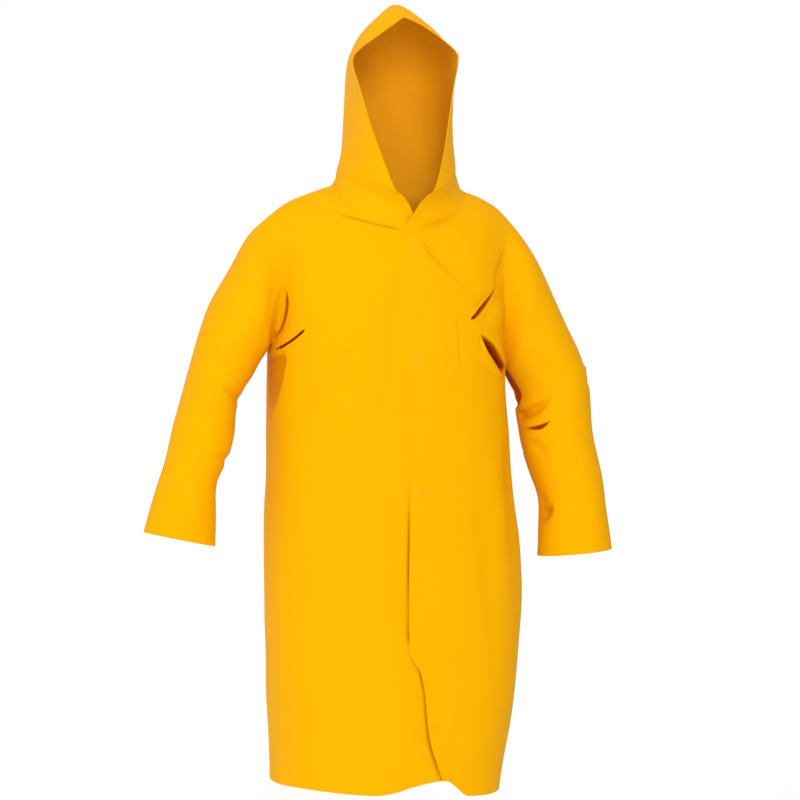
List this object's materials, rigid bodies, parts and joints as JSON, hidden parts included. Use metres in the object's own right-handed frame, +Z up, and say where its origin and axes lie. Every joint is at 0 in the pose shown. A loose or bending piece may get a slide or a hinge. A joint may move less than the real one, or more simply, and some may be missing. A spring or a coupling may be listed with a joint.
{
  "type": "hooded raincoat",
  "caption": "Knee-length hooded raincoat of coated cloth, hollow as worn, with a pointed hood, set-in sleeves and a snapped front lap.",
  "frame": {"origin": "the middle of the neck, level with the shoulders on which the coat hangs", "axes": "+Z up, -Y the coat's front, +X the wearer's left"},
  "size_m": [0.8545, 0.3286, 1.4169],
  "materials": {
    "coated_cloth": "semi-matt vinyl-coated cloth, bright yellow",
    "stud_cap": "moulded, yellow to match the cloth"
  },
  "bodies": {
    "root": {"front_left": "coated_cloth", "front_right": "coated_cloth", "back": "coated_cloth", "sleeve_left": "coated_cloth", "sleeve_right": "coated_cloth", "hood_left": "coated_cloth", "hood_right": "coated_cloth", "stud_neck": "stud_cap", "stud_chest": "stud_cap", "stud_waist": "stud_cap"}
  },
  "joints": []
}
